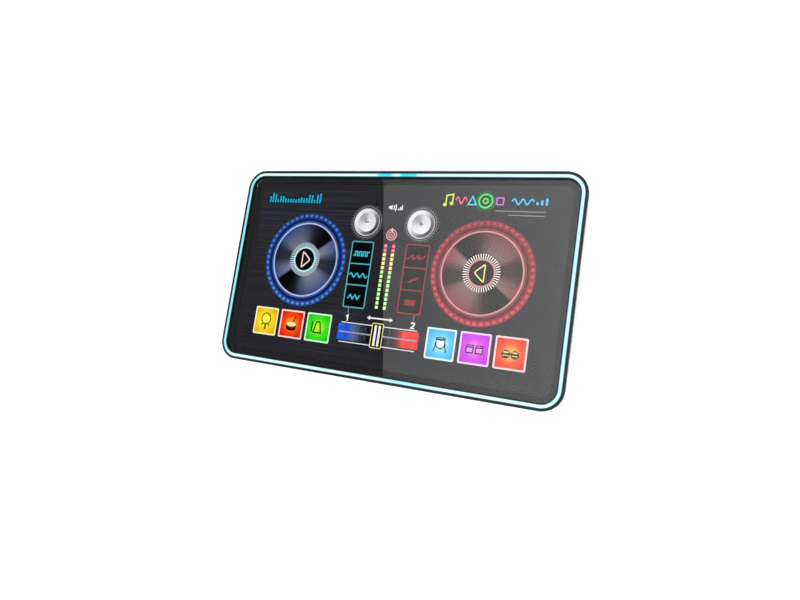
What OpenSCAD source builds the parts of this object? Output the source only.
// A flat, free-standing touch panel for playing and mixing dance rhythms: one glossy lit
// face, set in a rim with a glowing edge, on a shallow tapered housing that holds the
// light board, the main board, two speakers and the batteries.
// Millimetres. The panel lies face up with Z = 0 under its feet, +X to the player's right,
// +Y away from the player and +Z up. X = 0 and Y = 0 are the middle of the panel.

/* [Panel] */
// Length of the panel, left to right
panel_l = 400; // [396:1:480]
// Depth of the panel, front to back
panel_d = 228; // [226:1:274]
// Radius of the panel's outer corners
corner_r = 22; // [20:0.5:26.4]
// Height of the tapered housing, from the underside of its floor to the rim
tub_h = 26.5; // [26.5:0.1:31.8]
// How far the housing's sides lean in towards the floor
taper_in = 14; // [12:0.5:15]
// Height of the upright rim above the housing
rim_h = 5; // [5:0.1:6]
// Wall of the housing
wall = 2.2; // [1.8:0.1:2.64]
// Floor of the housing
floor_t = 2.2; // [1.9:0.1:2.64]

/* [Rim and glowing edge] */
// Width of the dark outer wall of the rim
rim_wall = 2.65; // [2.2:0.05:3.2]
// Width of the glowing edge
glow_w = 3.7; // [3.1:0.1:4.4]
// Thickness of the glowing edge's light guide
glow_t = 2.8; // [2.4:0.1:3.2]
// Width of the thin wall between the glowing edge and the glass
inner_wall = 1; // [0.9:0.05:1.2]
// Floor of the channel that holds the light guide
channel_floor = 1; // [0.8:0.1:1.2]
// Width of the ledge that carries the glass
ledge_w = 6; // [5:0.1:7.2]
// Thickness of that ledge
ledge_t = 1.8; // [1.5:0.1:2.1]
// Depth of the lip that drops into the housing
lip_h = 2; // [1.6:0.1:2.4]
// Thickness of that lip
lip_t = 1.5; // [1.2:0.1:1.8]

/* [Face stack] */
// Thickness of the clear cover
glass_t = 3; // [2.5:0.1:3.6]
// How far the cover's face lies below the top of the rim
glass_step = 3; // [2.5:0.1:3.2]
// Thickness of the tape under the cover
tape_t = 0.2; // [0.15:0.05:0.24]
// Thickness of the printed sheet
overlay_t = 0.3; // [0.25:0.01:0.36]
// Space for the ink between the printed sheet and the cover
ink_gap = 0.2; // [0.16:0.01:0.24]
// Thickness of the touch film
film_t = 0.2; // [0.16:0.01:0.24]
// Thickness of the diffuser
diffuser_t = 0.5; // [0.4:0.05:0.6]
// Thickness of the light grid
grid_t = 4.4; // [4:0.1:4.8]
// Thickness of both circuit boards
board_t = 1.6; // [1.4:0.1:1.8]
// Air between the sheets of the stack
sheet_gap = 0.05; // [0.04:0.01:0.06]
// How far in from the panel's edge the light grid begins
grid_inset = 25; // [25:0.5:27]

/* [Face layout] */
// Distance from the panel's end to the middle of a deck
deck_edge = 94.5; // [94:0.5:97]
// Place of the decks along Y
deck_y = 10.5; // [8:0.5:13]
// Outer radius of a deck's ring of light
deck_r = 53.5; // [50:0.5:54]
// Width of that ring
deck_ring_w = 6; // [5:0.5:7]
// Radius of a deck's lit hub
hub_r = 14.6; // [12:0.1:17]
// Side of a square drum pad
pad = 32; // [28:0.5:33]
// Distance from one drum pad to the next
pad_pitch = 36; // [35:0.5:38]
// Distance from the middle pad of a group to the deck's axis
pad_shift = 3.5; // [-2:0.5:4]
// Distance from the panel's front to the middle of the pads
pad_edge = 49; // [48:0.5:55]
// Length of the crossfader's track
fader_l = 96; // [84:0.5:98]
// Width of the crossfader's track
fader_w = 20; // [16:0.5:24]
// Radius of a volume key
volume_r = 16; // [14:0.5:17]
// Distance from the middle to a volume key
volume_x = 32.5; // [30:0.5:33]
// Distance from the panel's back to the volume keys
volume_edge = 56.5; // [56:0.5:60]
// Width of a style key
style_w = 27; // [24:0.5:28]
// Height of a style key
style_h = 22; // [20:0.5:23]
// Distance from one style key to the next
style_pitch = 24.3; // [24:0.1:25]
// Distance from the middle to a column of style keys
style_x = 33; // [32:0.5:34]
// Place of the style keys and level columns along Y
centre_y = -1.5; // [-2:0.5:0]
// Number of segments in a level column
segments = 15; // [12:1:15]
// Distance from one segment to the next
segment_pitch = 4.8; // [4.6:0.1:4.8]
// Distance from the middle to a level column
segment_x = 4.8; // [4.4:0.1:5.2]
// Radius of the power key
power_r = 6.5; // [5.5:0.5:7]
// Distance from the panel's back to the power key
power_edge = 69.5; // [68:0.5:70]

/* [Feet and screws] */
// Height that the feet stand proud of the floor
foot_h = 2.5; // [2:0.1:3]
// Radius of a foot
foot_r = 8; // [6:0.5:9.6]
// Depth of the recess that a foot is bonded into
foot_recess = 0.8; // [0.6:0.1:1]
// Distance from the panel's end to the feet
foot_x_edge = 40; // [38:1:46]
// Distance from the panel's front or back to the feet
foot_y_edge = 36; // [34:1:40]
// Distance of the case screws from the outline
screw_inset = 20; // [20:0.2:20.6]
// Radius of a case screw's shank
screw_r = 1.25; // [1.1:0.05:1.4]
// Radius of a case screw's head
screw_head_r = 2.5; // [2.2:0.1:2.7]
// Height of a case screw's head
screw_head_h = 2; // [1.6:0.1:2.4]
// Length of a case screw's shank
screw_l = 13; // [12:0.5:14]
// Place of the two front case screws along X
front_screw_x = 62; // [56:1:70]
// Place of the two back case screws along X
back_screw_x = 46; // [45:0.5:47]
// Radius of a board screw's shank
small_screw_r = 1; // [0.9:0.05:1.1]
// Radius of a board screw's head
small_head_r = 2; // [1.8:0.1:2.2]

/* [Batteries] */
// Number of cells, side by side
cells = 4; // [2:2:4]
// Diameter of a cell
cell_d = 14.2; // [13.5:0.1:14.3]
// Length of a cell, with its nub
cell_l = 50.5; // [48:0.1:50.5]
// Length of a pressed battery spring
spring_l = 6.4; // [5.4:0.1:7]
// Wall of the battery box
box_wall = 1.2; // [1:0.1:1.4]
// Thickness of the battery door
door_t = 2; // [1.7:0.1:2.2]
// How far the battery door slides
door_travel = 12; // [8:0.5:12]

/* [Speakers] */
// Radius of a speaker's flange
speaker_r = 25; // [24:0.5:26]
// Distance from the panel's end to a speaker
speaker_edge = 70; // [68:1:80]
// Place of the speakers along Y
speaker_y = 20; // [14:1:20]
// Width of a slot in the speaker grille
slot_w = 1.8; // [1.5:0.1:2.2]
// Distance from one grille slot to the next
slot_pitch = 3.8; // [3.6:0.1:4.5]

/* [Sockets] */
// Width of the socket recess in the back
recess_w = 46; // [44:0.5:48]
// Height of the socket recess
recess_h = 10.5; // [10:0.1:11]
// Left end of the socket recess along X
recess_x = 60; // [59:0.5:61]
// Radius of the bore of an audio jack
jack_r = 1.8; // [1.75:0.01:1.85]
// How far the power switch slides
switch_travel = 3; // [2:0.1:3]

/* [Fits] */
// Clearance round parts that drop into one another
fit = 0.2; // [0.15:0.05:0.24]
// Clearance round a sliding part
slide_fit = 0.3; // [0.25:0.05:0.35]
// Clearance round a screw in its pilot hole
pilot_fit = 0.05; // [0.03:0.01:0.08]
// Clearance round a screw in a through hole
through_fit = 0.35; // [0.3:0.05:0.45]

/* [Hidden] */
$fn = 48;
e = 1; // overrun of a cut past a face
min_corner = 3; // least radius of an inner outline
half_l = panel_l/2;
half_d = panel_d/2;
arc_x = half_l - corner_r; // centres of the corner arcs
arc_y = half_d - corner_r;

// Heights, from the floor up
z_floor = foot_h;
z_in = z_floor + floor_t;
z_split = z_floor + tub_h;
z_top = z_split + rim_h;

// Heights, from the rim down
glass_z = z_top - glass_step - glass_t;
ledge_top = glass_z - tape_t;
overlay_z = glass_z - ink_gap - overlay_t;
film_z = overlay_z - sheet_gap - film_t;
diffuser_z = film_z - sheet_gap - diffuser_t;
grid_z = diffuser_z - sheet_gap - grid_t;
board_z = grid_z - sheet_gap - board_t;
board_top = board_z + board_t;

// Outlines, as distances in from the edge
channel_in = rim_wall + glow_w;
glass_in = channel_in + inner_wall;
ledge_in = glass_in + ledge_w;
overlay_in = ledge_in + 2*fit;
sheet_in = overlay_in + 2;
lip_in = wall + taper(z_split - lip_h) + fit;
deck_x = half_l - deck_edge;
pad_y = pad_edge - half_d;
volume_y = half_d - volume_edge;
power_y = half_d - power_edge;
figure_y = half_d - 32; // lit figures above the decks
figure_x = half_l - 73;
figure_w = 70;
figure_h = 12;
cell_rib = 1.2; // rib between two cells of the light grid
cell_in = 1.5; // how far a key's light cell lies inside the key
segment_w = 3.6;

// Light emitters
led = [2.8, 3.5, 0.8];
small_led = [1.6, 1.6, 0.6];
deck_leds = 24;
hub_leds = 6;
hub_led_r = 9; // circle of the hub's emitters
edge_led = [3, 1.6, 0.7];
touch_chip_size = [7, 7, 1];
flat_w = 14; // width of the flat cable and of the touch film's tail
edge_leds_l = 14; // emitters along a long side
edge_leds_d = 8; // emitters along a short side
strip_w = 2.6;
strip_t = 0.25;
strip_z = z_split + channel_floor + sheet_gap;

// Case screws and what they go through
boss_r = 4.4;
counterbore_r = screw_head_r + 0.5;
seat_z = z_floor + 8.5; // the head bears on this face
post_top = z_floor + 15.3;
ear_r = 4;
ear_t = 3;
ear_top = diffuser_z - 0.3;
arc_step = (corner_r - screw_inset)/sqrt(2);
case_screws_xy = [
    for (x = [-1, 1], y = [-1, 1]) [x*(arc_x + arc_step), y*(arc_y + arc_step)],
    for (x = [-1, 1]) [x*(half_l - screw_inset), 0],
    for (x = [-1, 1]) [x*front_screw_x, screw_inset - half_d],
    for (x = [-1, 1]) [x*back_screw_x, half_d - screw_inset]];

// Feet
foot_x = half_l - foot_x_edge;
foot_y = half_d - foot_y_edge;

// Posts under the light board
post_r = 3;
post_edge = 32;
post_x = 52;
light_posts = [
    for (x = [-1, 1]) [x*(half_l - post_edge), half_d - 54],
    for (x = [-1, 1]) [x*(half_l - post_edge), -30],
    for (x = [-1, 1]) [x*post_x, pad_y + 21],
    for (x = [-1, 1]) [x*post_x, volume_y + 14.5]];

// Battery box and door
cell_r = cell_d/2;
cell_gap = 0.5;
cell_pitch = cell_d + cell_gap;
contact_t = 0.4;
nub_l = 1.2;
nub_r = 2.6;
bay_w = cells*cell_pitch + fit;
bay_l = cell_l + spring_l + 2*contact_t + 4*fit;
bay_y1 = half_d - taper_in - wall - 5.6; // back end of the bay
bay_y0 = bay_y1 - bay_l;
cell_z = z_in + fit + cell_r;
bay_top = cell_z + cell_r + fit;
box_top = board_z - 2*sheet_gap; // the box's lid backs the light board
door_rib = 2.6;
door_tongue = 2.5;
door_half = bay_w/2 + box_wall + fit + door_rib;
door_y0 = bay_y0 + 0.2;
door_y1 = half_d - taper_in;
tongue_y0 = door_y0 + 8;
tongue_y1 = door_y1 - door_travel - wall - 6;
tongue_z = z_in + slide_fit;
tongue_t = 1.2;
spring_turns = 3;
spring_wire = 0.4;
spring_r = 2.2; // at the cell's end; twice that at the contact
contact_half = 4.6; // half width of a contact under one cell

// Speakers: profile heights above the floor of the housing
speaker_x = half_l - speaker_edge;
gasket_t = 1;
flange_t = 1;
cone_r = speaker_r - 6.8;
basket_in = speaker_r - 3.4;
basket_top = 9.8;
pole_r = 6;
former_in = 6.5;
former_out = 6.9;
magnet_r = 14;
magnet_top = 13.4;
yoke_t = 1.2;
roll_r = 1.6;
roll_t = 0.4;
slots_half = 5; // grille slots each side of the middle one
lug_r = speaker_r + 3.6; // circle of the speaker screws
grille_r = speaker_r - 5;
lug_post_r = 2.4;
lug_h = gasket_t + flange_t;
washer_r = 4.4;
washer_t = 0.6;

// Main board and what stands on it
main_z = z_in + 3.4;
main_top = main_z + board_t;
main_x0 = recess_x - 2;
main_x1 = recess_x + recess_w + 2;
main_y1 = half_d - 20.7;
main_d = 45;
main_y0 = main_y1 - main_d;
main_post_r = 2.6;
main_post_in = 3.5;
main_post_back = 17;
main_posts = [
    for (x = [main_x0 + main_post_in, main_x1 - main_post_in])
        each [[x, main_y0 + main_post_in], [x, main_y1 - main_post_back]]];
header_size = [5, 5, 3.2];
speaker_header_x = [12, 20];
speaker_header_y = 5;
power_header = [8, 22.9];
flat_header = [32, 30.5];
flat_header_size = [16, 3, 2];

// Socket recess: its upright wall, and the sockets behind it
recess_z = z_floor + 4.5;
recess_y = half_d - 14.2; // outer face of the upright wall
usb_x = recess_x + 8;
line_jack_x = recess_x + 19;
phone_jack_x = recess_x + 29;
switch_x = recess_x + 38;
socket_y = recess_y - wall - fit; // face of the sockets
jack_z = main_top + 3;
jack_l = 13;
jack_nose_r = 2.9;
usb_w = 8.94;
usb_h = 3.26;
usb_t = 0.3;
usb_z = main_top + usb_h/2 + sheet_gap;
usb_l = 7.3;
switch_l = 9;
switch_h = 4;
switch_d = 4.2;
switch_z = main_top + switch_h/2 + sheet_gap;
knob_w = 2.4;
knob_h = 2;
knob_out = 1.6; // how far the knob stands out of the wall
knob_seat = 0.8; // wall of the switch's body behind the knob
switch_side = 2.2; // wall of the switch's body beside its slot
grip_pitch = 0.7; // grooves in the knob's face
grip_w = 0.3;

// Cables that the housing holds: round points chosen by hand
wire_r = 0.7;
flex_t = 0.3;
wire_z = main_top + 4.15; // where a wire leaves its header
lug_out = 13.6; // from a speaker's axis to its terminal, along X and Y
lug_z = 6.9; // height of that terminal above the floor of the housing
tail_x = -72; // left edge of the touch film's tail
tail_foot = 8; // stretch of the tail under the light board
left_wire = [
    [main_x0 + speaker_header_x[0], main_y0 + speaker_header_y, wire_z],
    [main_x0 + speaker_header_x[0], main_y0 - 4, 13], [64, main_y0 - 14, 9], [50, 22, 7], [30, 18, 7],
    [0, 17, 7], [-30, 17, 7], [-60, 17, 8], [34 - speaker_x + lug_out, 16, 10],
    [18 - speaker_x + lug_out, 11, 12],
    [5 - speaker_x + lug_out, speaker_y - lug_out, 12.6],
    [lug_out - speaker_x, speaker_y - lug_out, z_in + lug_z]];
right_wire = [
    [main_x0 + speaker_header_x[1], main_y0 + speaker_header_y, wire_z],
    [main_x0 + speaker_header_x[1] + 1, main_y0 - 4, 13], [86, main_y0 - 16, 12], [speaker_x - 34, 18, 12],
    [speaker_x - lug_out - 8, speaker_y - lug_out, 13],
    [speaker_x - lug_out, speaker_y - lug_out, z_in + lug_z]];
lead_z = cell_z + 3;
lead_pitch = 2.8; // between the two leads at their header
red_lead = [
    [cell_x(cells - 1), bay_y0, lead_z], [cell_x(cells - 1), bay_y0 - 5, lead_z], [30, bay_y0 - 8, 15],
    [40, bay_y0 - 4, 15], [48, bay_y0 + 8, 15], [54, main_y0 + 8, 15], [58, main_y0 + 17, 15],
    [main_x0 + power_header[0], main_y0 + power_header[1] - lead_pitch/2, wire_z]];
black_lead = [
    [cell_x(0), bay_y0, lead_z], [cell_x(0), bay_y0 - 5, lead_z], [-14, bay_y0 - 9, 13],
    [0, bay_y0 - 10, 12], [20, bay_y0 - 11, 11], [38, bay_y0 - 12, 11], [48, bay_y0 - 2, 11],
    [54, main_y0, 11.5], [56, main_y0 + 14, 12], [60, main_y0 + 22, 13.5],
    [main_x0 + power_header[0], main_y0 + power_header[1] + lead_pitch/2, wire_z]];

// ---- shared shapes ----

// How far the housing's outside has leaned in at height z
function taper(z) = taper_in*(z_split - z)/tub_h;

// The panel's outline, moved in by inset
module outline(inset) {
    r = max(corner_r - inset, min_corner);
    l = panel_l - 2*inset;
    d = panel_d - 2*inset;
    square([l - 2*r, d], center = true);
    square([l, d - 2*r], center = true);
    for (x = [-1, 1], y = [-1, 1]) translate([x*(l/2 - r), y*(d/2 - r)]) circle(r);
}

module sheet(inset, z, t) {
    translate([0, 0, z]) linear_extrude(t) outline(inset);
}

module frame_ring(outer, inner, z, t) {
    translate([0, 0, z]) linear_extrude(t) difference() {
        outline(outer);
        outline(inner);
    }
}

// A block whose sides follow the housing's taper, moved in by inset
module tapered(inset, z0, z1) {
    i0 = inset + taper(z0);
    i1 = inset + taper(z1);
    rotate([90, 0, 0]) translate([0, 0, -arc_y]) linear_extrude(2*arc_y)
        polygon([[i0 - half_l, z0], [half_l - i0, z0], [half_l - i1, z1], [i1 - half_l, z1]]);
    rotate([90, 0, 90]) translate([0, 0, -arc_x]) linear_extrude(2*arc_x)
        polygon([[i0 - half_d, z0], [half_d - i0, z0], [half_d - i1, z1], [i1 - half_d, z1]]);
    for (x = [-1, 1], y = [-1, 1]) translate([x*arc_x, y*arc_y, z0])
        cylinder(h = z1 - z0, r1 = corner_r - i0, r2 = corner_r - i1);
}

// A box between two corners
module block(a, b) {
    translate(a) cube(b - a);
}

module disc(x, y, z, h, r) {
    translate([x, y, z]) cylinder(h = h, r = r);
}

module tube(z, h, r_out, r_in) {
    translate([0, 0, z]) difference() {
        cylinder(h = h, r = r_out);
        translate([0, 0, -e]) cylinder(h = h + 2*e, r = r_in);
    }
}

// One light emitter, centred at x, y on height z
module emitter(x, y, z, size, turn = 0) {
    translate([x, y, z + size[2]/2]) rotate([0, 0, turn]) cube(size, center = true);
}

// A round wire swept along points, as one closed mesh
function unit(v) = v/norm(v);
function heading(p, i) = unit(p[min(i + 1, len(p) - 1)] - p[max(i - 1, 0)]);
function side_of(t) = abs(t[2]) > 0.9 ? unit(cross(t, [0, 1, 0])) : unit(cross(t, [0, 0, 1]));
function curve(p, n) = [
    for (i = [0:len(p) - 2], k = [0:n - 1]) spline(p, i, k/n),
    p[len(p) - 1]];
function spline(p, i, u) =
    let (a = p[max(i - 1, 0)], b = p[i], c = p[i + 1], d = p[min(i + 2, len(p) - 1)])
    0.5*(2*b + (c - a)*u + (2*a - 5*b + 4*c - d)*u*u + (3*b - a - 3*c + d)*u*u*u);

module wire(points, r, sides = 8) {
    n = len(points);
    rings = [for (i = [0:n - 1]) let (t = heading(points, i), s = side_of(t), q = cross(s, t))
        for (k = [0:sides - 1]) points[i] + r*(cos(360*k/sides)*s + sin(360*k/sides)*q)];
    walls = [for (i = [0:n - 2], k = [0:sides - 1]) let (a = i*sides + k, b = i*sides + (k + 1) % sides)
        each [[a, b, b + sides], [a, b + sides, a + sides]]];
    first = [for (k = [sides - 1:-1:0]) k];
    last = [for (k = [0:sides - 1]) (n - 1)*sides + k];
    polyhedron(rings, concat([first], walls, [last]));
}

// ---- rim and face ----

// A screw boss, with webs that carry it from under the ledge
module ear(x, y) {
    reach = screw_inset - glass_in;
    z = ear_top - ear_t;
    disc(x, y, post_top + fit, ear_top - post_top - fit, ear_r);
    if (abs(x) > arc_x)
        block([min(x, x + sign(x)*reach), y - ear_r, z], [max(x, x + sign(x)*reach), y + ear_r, ear_top]);
    if (abs(y) > arc_y)
        block([x - ear_r, min(y, y + sign(y)*reach), z], [x + ear_r, max(y, y + sign(y)*reach), ear_top]);
}

module front_frame() {
    color([0.03, 0.07, 0.08]) difference() {
        union() {
            frame_ring(0, rim_wall, z_split, rim_h);
            frame_ring(0, channel_in + inner_wall/2, z_split, channel_floor);
            frame_ring(channel_in, glass_in, ledge_top - ledge_t, z_top - ledge_top + ledge_t);
            frame_ring(channel_in, ledge_in, ledge_top - ledge_t, ledge_t);
            frame_ring(lip_in, lip_in + lip_t, z_split - lip_h, lip_h);
            for (p = case_screws_xy) ear(p[0], p[1]);
        }
        for (p = case_screws_xy)
            disc(p[0], p[1], post_top, seat_z + screw_l - post_top + 0.6, screw_r + pilot_fit);
    }
}

module edge_light_guide() {
    color([0.75, 1, 1]) frame_ring(rim_wall + pilot_fit, channel_in - pilot_fit, z_top - glow_t, glow_t);
}

module edge_led_strip() {
    middle = rim_wall + glow_w/2;
    color([0.9, 0.9, 0.85]) frame_ring(middle - strip_w/2, middle + strip_w/2, strip_z, strip_t);
}

module edge_leds() {
    inset = rim_wall + glow_w/2;
    z = strip_z + strip_t;
    span_x = 2*arc_x/edge_leds_l;
    span_y = 2*arc_y/edge_leds_d;
    color([1, 0.95, 0.7]) {
        for (i = [0:edge_leds_l - 1], s = [-1, 1])
            emitter(-arc_x + (i + 0.5)*span_x, s*(half_d - inset), z, edge_led);
        for (i = [0:edge_leds_d - 1], s = [-1, 1])
            emitter(s*(half_l - inset), -arc_y + (i + 0.5)*span_y, z, edge_led, 90);
    }
}

module cover_glass() {
    color([0.2, 0.22, 0.25, 0.3]) sheet(glass_in + fit, glass_z, glass_t);
}

module glass_tape() {
    color([0.1, 0.1, 0.1]) frame_ring(glass_in + 2*fit, ledge_in - fit, ledge_top, tape_t);
}

module printed_overlay() {
    color([0.08, 0.08, 0.1]) sheet(overlay_in, overlay_z, overlay_t);
}

module touch_film() {
    color([0.6, 0.7, 0.7, 0.6]) sheet(sheet_in, film_z, film_t);
}

module diffuser_sheet() {
    color([0.95, 0.95, 0.95]) sheet(sheet_in, diffuser_z, diffuser_t);
}

// ---- light grid, light board and emitters ----

// Ring of light round a deck, in twelve cells
module deck_ring_cells() {
    for (s = [-1, 1]) translate([s*deck_x, deck_y]) difference() {
        circle(deck_r);
        circle(deck_r - deck_ring_w);
        for (a = [0:30:150]) rotate(a) square([2*deck_r + e, cell_rib], center = true);
    }
}

module hub_cells() {
    for (s = [-1, 1]) translate([s*deck_x, deck_y]) difference() {
        circle(hub_r);
        square([2*hub_r + e, cell_rib], center = true);
    }
}

function pad_x(side, i) = side*(deck_x + (i - 1)*pad_pitch + pad_shift);
function level_y(i) = centre_y + (i - (segments - 1)/2)*segment_pitch;

module key_cells() {
    for (s = [-1, 1], i = [0:2]) {
        translate([pad_x(s, i), pad_y]) square(pad - 2*cell_in, center = true);
        translate([s*style_x, centre_y + (i - 1)*style_pitch])
            square([style_w - 2*cell_in, style_h - 2*cell_in], center = true);
    }
    for (s = [-1, 1]) {
        translate([s*volume_x, volume_y]) circle(volume_r - cell_in);
        translate([s*figure_x, figure_y]) square([figure_w, figure_h], center = true);
        translate([s*fader_l/4, pad_y]) square([fader_l/2 - 2*cell_in, fader_w - cell_in], center = true);
    }
    translate([0, power_y]) circle(power_r - cell_in/2);
}

module level_cells() {
    for (s = [-1, 1], i = [0:segments - 1])
        translate([s*segment_x, level_y(i)]) square([segment_w, segment_pitch - cell_rib], center = true);
}

module light_grid() {
    screw_hole = small_head_r + 0.9;
    color([0.92, 0.92, 0.92]) translate([0, 0, grid_z]) linear_extrude(grid_t) difference() {
        outline(grid_inset);
        deck_ring_cells();
        hub_cells();
        key_cells();
        level_cells();
        for (p = light_posts) translate(p) circle(screw_hole);
    }
}

module light_board() {
    color([0.05, 0.3, 0.15]) translate([0, 0, board_z]) linear_extrude(board_t) difference() {
        outline(grid_inset + 1);
        for (p = light_posts) translate(p) circle(small_screw_r + through_fit);
    }
}

module deck_leds_at(s) {
    ring_r = deck_r - deck_ring_w/2;
    color([1, 0.95, 0.7]) {
        for (i = [0:deck_leds - 1]) {
            a = (i + 0.5)*360/deck_leds;
            emitter(s*deck_x + ring_r*cos(a), deck_y + ring_r*sin(a), board_top, led, a);
        }
        for (i = [0:hub_leds - 1]) {
            a = (i + 0.5)*360/hub_leds;
            emitter(s*deck_x + hub_led_r*cos(a), deck_y + hub_led_r*sin(a), board_top, led, a);
        }
    }
}

module left_deck_leds() { deck_leds_at(-1); }
module right_deck_leds() { deck_leds_at(1); }

module pad_leds() {
    color([1, 0.95, 0.7]) for (s = [-1, 1], i = [0:2], x = [-1, 1], y = [-1, 1])
        emitter(pad_x(s, i) + x*pad/5, pad_y + y*pad/5, board_top, led);
}

module level_leds() {
    color([1, 0.95, 0.7]) for (s = [-1, 1], i = [0:segments - 1])
        emitter(s*segment_x, level_y(i), board_top, small_led);
}

module key_leds() {
    color([1, 0.95, 0.7]) {
        for (s = [-1, 1], i = [0:2], x = [-1, 1])
            emitter(s*style_x + x*style_w/5, centre_y + (i - 1)*style_pitch, board_top, led);
        for (s = [-1, 1], x = [-1, 1]) {
            emitter(s*volume_x + x*volume_r/3, volume_y, board_top, led);
            emitter(s*figure_x + x*figure_w/4, figure_y, board_top, led);
            emitter(s*fader_l/4 + x*fader_l/9, pad_y, board_top, led);
        }
        emitter(0, power_y, board_top, led);
    }
}

module touch_chip() {
    color([0.1, 0.1, 0.1])
        emitter(0, pad_y + 13, board_z - sheet_gap - touch_chip_size[2], touch_chip_size);
}

module touch_tail() {
    // From the film's back edge, over the end of the light board, to its underside
    y0 = half_d - sheet_in - 4;
    y1 = half_d - grid_inset + cell_rib;
    z0 = board_z - sheet_gap;
    z1 = diffuser_z - flex_t;
    color([0.75, 0.5, 0.15]) translate([tail_x, 0, 0]) rotate([90, 0, 90]) linear_extrude(flat_w)
        polygon([
            [y1 - tail_foot, z0 - flex_t], [y1 + flex_t, z0 - flex_t], [y1 + flex_t, z1 - flex_t],
            [y0 + flex_t, z1 - flex_t], [y0 + flex_t, z1], [y1, z1], [y1, z0], [y1 - tail_foot, z0]]);
}

// ---- housing ----

module slots() {
    for (i = [-slots_half:slots_half]) {
        half = sqrt(grille_r*grille_r - pow(i*slot_pitch, 2));
        translate([i*slot_pitch - slot_w/2, -half, z_floor - e]) cube([slot_w, 2*half, floor_t + 2*e]);
    }
}

module battery_box() {
    side = bay_w/2 + box_wall;
    for (s = [-1, 1])
        block([s == 1 ? bay_w/2 : -side, bay_y0 - box_wall, z_in - 0.01],
              [s == 1 ? side : -bay_w/2, bay_y1 + box_wall, box_top]);
    block([-side, bay_y0 - box_wall, z_in - 0.01], [side, bay_y0, box_top]);
    block([-side, bay_y1, z_in], [side, bay_y1 + box_wall, box_top]);
    block([-side, bay_y0 - box_wall, bay_top], [side, bay_y1 + box_wall, box_top]);
    // Webs that tie the box to the back wall
    for (x = [-side + box_wall/2, side - box_wall/2])
        block([x - box_wall/2, bay_y1, z_in + 3], [x + box_wall/2, half_d, bay_top]);
}

module door_cut() {
    block([-door_half - slide_fit, door_y0 - slide_fit, z_floor - e],
          [door_half + slide_fit, half_d, z_in]);
}

module speaker_seat() {
    tube(z_in - 0.01, lug_h - sheet_gap, speaker_r + 1.6, speaker_r + fit);
    for (a = [45:90:315]) rotate(a) disc(lug_r, 0, z_in - 0.01, lug_h, lug_post_r);
}

module io_shell() {
    block([recess_x - wall, recess_y - wall, recess_z - wall],
          [recess_x + recess_w + wall, half_d, recess_z + recess_h + wall]);
}

module io_cuts() {
    block([recess_x, recess_y, recess_z], [recess_x + recess_w, half_d + e, recess_z + recess_h]);
    for (x = [line_jack_x, phone_jack_x]) translate([x, recess_y + e, jack_z]) rotate([90, 0, 0])
        cylinder(h = wall + 2*e, r = jack_nose_r + fit);
    block([usb_x - usb_w/2 - fit, recess_y - wall - e, usb_z - usb_h/2 - fit],
          [usb_x + usb_w/2 + fit, recess_y + e, usb_z + usb_h/2 + fit]);
    block([switch_x - knob_w/2 - slide_fit, recess_y - wall - e, switch_z - knob_h/2 - slide_fit],
          [switch_x + knob_w/2 + switch_travel + slide_fit, recess_y + e, switch_z + knob_h/2 + slide_fit]);
}

module rear_housing() {
    color([0.04, 0.06, 0.07]) difference() {
        intersection() {
            tapered(0, z_floor, z_split);
            union() {
                difference() {
                    sheet(0, z_floor, tub_h);
                    tapered(wall, z_in, z_split + e);
                }
                for (p = case_screws_xy) disc(p[0], p[1], z_floor, post_top - z_floor, boss_r);
                for (p = light_posts) disc(p[0], p[1], z_floor, board_z - z_floor, post_r);
                for (p = main_posts) disc(p[0], p[1], z_floor, main_z - z_floor, main_post_r);
                for (s = [-1, 1]) translate([s*speaker_x, speaker_y, 0]) speaker_seat();
                battery_box();
                io_shell();
            }
        }
        io_cuts();
        door_cut();
        // Holes for the battery leads
        for (i = [0, cells - 1]) translate([cell_x(i), bay_y0 + e, lead_z]) rotate([90, 0, 0])
            cylinder(h = box_wall + 2*e, r = wire_r + fit);
        for (p = case_screws_xy) {
            disc(p[0], p[1], z_floor - e, seat_z - z_floor + e, counterbore_r);
            disc(p[0], p[1], seat_z - e, post_top - seat_z + 2*e, screw_r + through_fit);
        }
        for (p = light_posts) disc(p[0], p[1], board_z - 7, 7 + e, small_screw_r + pilot_fit);
        for (p = main_posts) disc(p[0], p[1], z_in, main_z - z_in + e, small_screw_r + pilot_fit);
        for (s = [-1, 1]) translate([s*speaker_x, speaker_y, 0]) {
            slots();
            for (a = [45:90:315]) rotate(a)
                disc(lug_r, 0, z_in - 1, lug_h + 2, small_screw_r + pilot_fit);
        }
        for (x = [-1, 1], y = [-1, 1])
            disc(x*foot_x, y*foot_y, z_floor - e, foot_recess + e, foot_r + fit);
    }
}

module case_screws() {
    color([0.6, 0.6, 0.62]) for (p = case_screws_xy) difference() {
        union() {
            disc(p[0], p[1], seat_z - screw_head_h, screw_head_h, screw_head_r);
            disc(p[0], p[1], seat_z - 0.01, screw_l, screw_r);
        }
        for (a = [0, 90]) translate([p[0], p[1], seat_z - screw_head_h]) rotate(a)
            cube([3, 0.7, 2], center = true);
    }
}

module rubber_feet() {
    color([0.1, 0.1, 0.1]) for (x = [-1, 1], y = [-1, 1])
        disc(x*foot_x, y*foot_y, 0, foot_h + foot_recess, foot_r);
}

// ---- batteries ----

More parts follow.
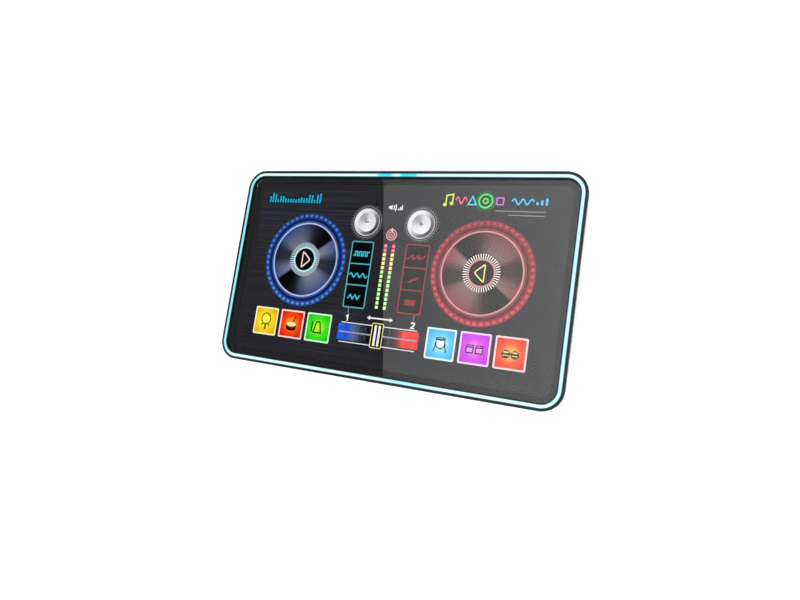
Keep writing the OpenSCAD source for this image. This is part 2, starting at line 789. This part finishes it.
module battery_door() {
    rib_in = door_half - door_rib;
    color([0.04, 0.06, 0.07]) difference() {
        union() {
            block([-door_half, door_y0, z_floor], [door_half, door_y1, z_floor + door_t]);
            for (s = [-1, 1]) {
                block([s == 1 ? rib_in : -door_half, tongue_y0, z_floor + door_t - 0.01],
                      [s == 1 ? door_half : -rib_in, tongue_y1, tongue_z + tongue_t]);
                block([s == 1 ? door_half - 0.01 : -door_half - door_tongue, tongue_y0, tongue_z],
                      [s == 1 ? door_half + door_tongue : -door_half + 0.01, tongue_y1, tongue_z + tongue_t]);
            }
        }
        // Finger grooves
        for (i = [0:4]) block([-12, door_y0 + 6 + 3*i, z_floor - e], [12, door_y0 + 7.5 + 3*i, z_floor + 0.7]);
    }
}

// +1 where a cell's nub points to the back
function cell_way(i) = i % 2 == 0 ? 1 : -1;
function cell_x(i) = (i - (cells - 1)/2)*cell_pitch;
function cell_front(i) = bay_y0 + fit + contact_t + fit + (cell_way(i) == 1 ? spring_l : 0);

module battery_cells() {
    body_l = cell_l - nub_l;
    color([0.35, 0.37, 0.4]) for (i = [0:cells - 1])
        translate([cell_x(i), cell_front(i) + cell_l/2, cell_z]) rotate([90*-cell_way(i), 0, 0])
            translate([0, 0, -cell_l/2]) {
                cylinder(h = body_l, r = cell_r);
                translate([0, 0, body_l - 0.01]) cylinder(h = nub_l, r = nub_r);
            }
}

module battery_springs() {
    rings = 9; // rings of the mesh in one turn
    reach = spring_l - 2*spring_wire - 0.1;
    color([0.8, 0.8, 0.8]) for (i = [0:cells - 1]) {
        seat = spring_wire + sheet_gap;
        base = cell_way(i) == 1 ? cell_front(i) - seat : cell_front(i) + cell_l + seat;
        coil = [for (k = [0:spring_turns*rings]) let (u = k/(spring_turns*rings))
            [(1 + u)*spring_r*cos(360*k/rings), -cell_way(i)*u*reach, (1 + u)*spring_r*sin(360*k/rings)]];
        translate([cell_x(i), base, cell_z]) wire(coil, spring_wire, 6);
    }
}

module contact(x0, x1, y) {
    block([x0, y, cell_z - contact_half], [x1, y + contact_t, cell_z + contact_half]);
}

module battery_contacts() {
    h = contact_half;
    front = bay_y0 + fit/2;
    back = bay_y1 - fit/2 - contact_t;
    color([0.8, 0.8, 0.8]) {
        for (i = [0:2:cells - 2]) contact(cell_x(i) - h, cell_x(i + 1) + h, back);
        for (i = [1:2:cells - 3]) contact(cell_x(i) - h, cell_x(i + 1) + h, front);
        for (i = [0, cells - 1]) contact(cell_x(i) - h, cell_x(i) + h, front);
    }
}

module battery_wires() {
    color([0.7, 0.1, 0.1]) wire(curve(red_lead, 4), wire_r);
    color([0.1, 0.1, 0.1]) wire(curve(black_lead, 3), wire_r);
}

// ---- speakers ----

module at_speaker(s) {
    translate([s*speaker_x, speaker_y, z_in]) children();
}

module gasket(s) {
    color([0.15, 0.15, 0.15]) at_speaker(s) tube(0, gasket_t - sheet_gap, speaker_r, basket_in + 0.8);
}

module basket(s) {
    z1 = gasket_t + flange_t;
    color([0.3, 0.3, 0.32]) at_speaker(s) difference() {
        rotate_extrude() polygon([
            [basket_in, gasket_t], [speaker_r, gasket_t], [speaker_r, z1], [basket_in + 1.2, z1],
            [magnet_r + 0.8, basket_top - 0.8], [magnet_r + 0.8, basket_top], [former_out + 0.6, basket_top],
            [former_out + 0.6, basket_top - 0.8], [magnet_r - 0.6, basket_top - 0.8], [basket_in, z1]]);
        for (a = [0:90:270]) rotate(a) translate([magnet_r + 1.4, -6, z1 + 1]) cube([8, 12, 5]);
    }
}

module magnet(s) {
    color([0.2, 0.2, 0.2]) at_speaker(s) {
        tube(basket_top, magnet_top - basket_top + 0.01, magnet_r, former_out + 1.3);
        disc(0, 0, magnet_top, yoke_t, magnet_r - 0.5);
        disc(0, 0, basket_top - 0.4, magnet_top - basket_top + 0.5, pole_r);
    }
}

module speaker_cone(s) {
    rim = gasket_t + flange_t + 0.2;
    apex = 6.4;
    color([0.12, 0.12, 0.13]) at_speaker(s) rotate_extrude() polygon([
        [0, apex - 1.2], [former_in - 0.1, apex - 0.6], [cone_r, rim], [cone_r, rim + 0.6],
        [former_out, apex], [former_out, 12], [former_in, 12], [former_in, apex], [0, apex - 0.7]]);
}

module surround(s) {
    middle = (cone_r + basket_in)/2;
    color([0.08, 0.08, 0.08]) at_speaker(s) rotate_extrude() translate([middle, gasket_t + flange_t + 0.1])
        difference() {
            circle(roll_r);
            circle(roll_r - roll_t);
            translate([-roll_r - e, 0]) square(2*roll_r + 2*e);
        }
}

module left_speaker_gasket() { gasket(-1); }
module left_speaker_basket() { basket(-1); }
module left_speaker_magnet() { magnet(-1); }
module left_speaker_cone() { speaker_cone(-1); }
module left_speaker_surround() { surround(-1); }
module right_speaker_gasket() { gasket(1); }
module right_speaker_basket() { basket(1); }
module right_speaker_magnet() { magnet(1); }
module right_speaker_cone() { speaker_cone(1); }
module right_speaker_surround() { surround(1); }

module speaker_screws() {
    z = z_in + lug_h;
    color([0.7, 0.7, 0.72]) for (s = [-1, 1], a = [45:90:315])
        translate([s*speaker_x, speaker_y, 0]) rotate(a) translate([lug_r, 0, 0]) {
            disc(0, 0, z + 0.02, washer_t, washer_r);
            disc(0, 0, z + washer_t, 1.2, small_head_r);
            disc(0, 0, z_in - 0.8, lug_h + 1, small_screw_r);
        }
}

module left_speaker_wire() {
    color([0.15, 0.15, 0.15]) wire(curve(left_wire, 3), wire_r);
}

module right_speaker_wire() {
    color([0.15, 0.15, 0.15]) wire(curve(right_wire, 4), wire_r);
}

// ---- main board ----

module main_board() {
    color([0.05, 0.3, 0.15]) difference() {
        block([main_x0, main_y0, main_z], [main_x1, main_y1, main_top]);
        for (p = main_posts) disc(p[0], p[1], main_z - e, board_t + 2*e, small_screw_r + through_fit);
    }
}

// A part on the main board, placed from the board's front left corner
module on_board(x, y, size) {
    emitter(main_x0 + x, main_y0 + y, main_top + sheet_gap, size);
}

module processor_chip() { color([0.08, 0.08, 0.08]) on_board(25, 19, [10, 10, 1.4]); }
module amplifier_chip() { color([0.08, 0.08, 0.08]) on_board(38, 10, [5, 6, 1.5]); }
module radio_module() { color([0.1, 0.2, 0.4]) on_board(38, 21, [9, 11, 2]); }
module crystal() { color([0.8, 0.8, 0.8]) on_board(15.5, 19, [3.2, 5, 1.1]); }

module capacitors() {
    color([0.2, 0.2, 0.25]) for (p = [[31, 10], [14, 28], [20, 27]])
        disc(main_x0 + p[0], main_y0 + p[1], main_top + sheet_gap, 5.4, 2.5);
}

module board_headers() {
    color([0.93, 0.92, 0.86]) {
        for (x = speaker_header_x) on_board(x, speaker_header_y, header_size);
        on_board(power_header[0], power_header[1], header_size + [1, 1, 0]);
        on_board(flat_header[0], flat_header[1], flat_header_size);
    }
}

module jack(x) {
    body = [8, jack_l, 5.8];
    color([0.12, 0.12, 0.12]) difference() {
        union() {
            block([x - body[0]/2, socket_y - body[1], main_top + sheet_gap],
                  [x + body[0]/2, socket_y, main_top + body[2]]);
            translate([x, socket_y + wall, jack_z]) rotate([90, 0, 0])
                cylinder(h = wall + 0.01, r = jack_nose_r);
        }
        translate([x, socket_y + wall + e, jack_z]) rotate([90, 0, 0])
            cylinder(h = jack_l + wall - 1 + e, r = jack_r);
    }
}

module headphone_jack() { jack(phone_jack_x); }
module line_jack() { jack(line_jack_x); }

module usb_socket() {
    color([0.75, 0.75, 0.77]) {
        difference() {
            usb_tube(0, usb_l, 0);
            usb_tube(0.8, usb_l, usb_t);
        }
        // The tongue in the socket's mouth
        block([usb_x - 3.3, socket_y + wall - usb_l + 0.7, usb_z - 0.35],
              [usb_x + 3.3, socket_y + wall - 1, usb_z + 0.35]);
    }
}

// The socket's rounded mouth, from back + start, moved in by t
module usb_tube(start, l, t) {
    r = usb_h/2 - t;
    translate([usb_x, socket_y + wall - usb_l + start, usb_z]) rotate([-90, 0, 0]) linear_extrude(l) {
        square([usb_w - usb_h, 2*r], center = true);
        for (s = [-1, 1]) translate([s*(usb_w - usb_h)/2, 0]) circle(r);
    }
}

module power_switch_body() {
    slot = knob_w + switch_travel + 2*slide_fit;
    slot_x = switch_x - knob_w/2 - slide_fit;
    color([0.7, 0.7, 0.72]) difference() {
        block([switch_x - knob_w/2 - switch_side, socket_y - switch_d, switch_z - switch_h/2],
              [switch_x - knob_w/2 - switch_side + switch_l, socket_y, switch_z + switch_h/2]);
        block([slot_x, socket_y - switch_d + knob_seat, switch_z - knob_h/2 - slide_fit],
              [slot_x + slot, socket_y + e, switch_z + knob_h/2 + slide_fit]);
    }
}

module power_switch_knob() {
    color([0.12, 0.12, 0.12]) difference() {
        block([switch_x - knob_w/2, socket_y - switch_d + knob_seat + slide_fit, switch_z - knob_h/2],
              [switch_x + knob_w/2, recess_y + knob_out, switch_z + knob_h/2]);
        for (i = [-1:1])
            block([switch_x + grip_pitch*i - grip_w/2, recess_y + knob_out - grip_w, switch_z - knob_h],
                  [switch_x + grip_pitch*i + grip_w/2, recess_y + knob_out + e, switch_z + knob_h]);
    }
}

module main_board_screws() {
    color([0.7, 0.7, 0.72]) for (p = main_posts) {
        disc(p[0], p[1], main_top + 0.02, 1.3, small_head_r);
        disc(p[0], p[1], z_in + fit, main_top - z_in, small_screw_r);
    }
}

module light_board_screws() {
    color([0.7, 0.7, 0.72]) for (p = light_posts) {
        disc(p[0], p[1], board_top + 0.02, 1.3, small_head_r);
        disc(p[0], p[1], board_z - 6, 6 + board_t + 0.1, small_screw_r);
    }
}

module ribbon_cable() {
    y2 = main_y0 + flat_header[1];
    y1 = y2 - 5;
    y0 = y2 - 12;
    z0 = main_top + flat_header_size[2] + 0.2;
    z1 = board_z - sheet_gap;
    color([0.85, 0.85, 0.87]) translate([main_x0 + flat_header[0] - flat_w/2, 0, 0]) rotate([90, 0, 90])
        linear_extrude(flat_w) polygon([
            [y2, z0], [y1, z0], [y1, z1 - flex_t], [y0, z1 - flex_t], [y0, z1], [y1 + flex_t, z1],
            [y1 + flex_t, z0 + flex_t], [y2, z0 + flex_t]]);
}

front_frame();
edge_light_guide();
edge_led_strip();
edge_leds();
cover_glass();
glass_tape();
printed_overlay();
touch_film();
diffuser_sheet();
light_grid();
light_board();
left_deck_leds();
right_deck_leds();
pad_leds();
level_leds();
key_leds();
touch_chip();
rear_housing();
case_screws();
rubber_feet();
battery_door();
battery_cells();
battery_springs();
battery_contacts();
left_speaker_gasket();
left_speaker_basket();
left_speaker_magnet();
left_speaker_cone();
left_speaker_surround();
right_speaker_gasket();
right_speaker_basket();
right_speaker_magnet();
right_speaker_cone();
right_speaker_surround();
speaker_screws();
main_board();
processor_chip();
amplifier_chip();
radio_module();
capacitors();
crystal();
board_headers();
headphone_jack();
line_jack();
usb_socket();
power_switch_body();
power_switch_knob();
main_board_screws();
light_board_screws();
ribbon_cable();
left_speaker_wire();
right_speaker_wire();
battery_wires();
touch_tail();
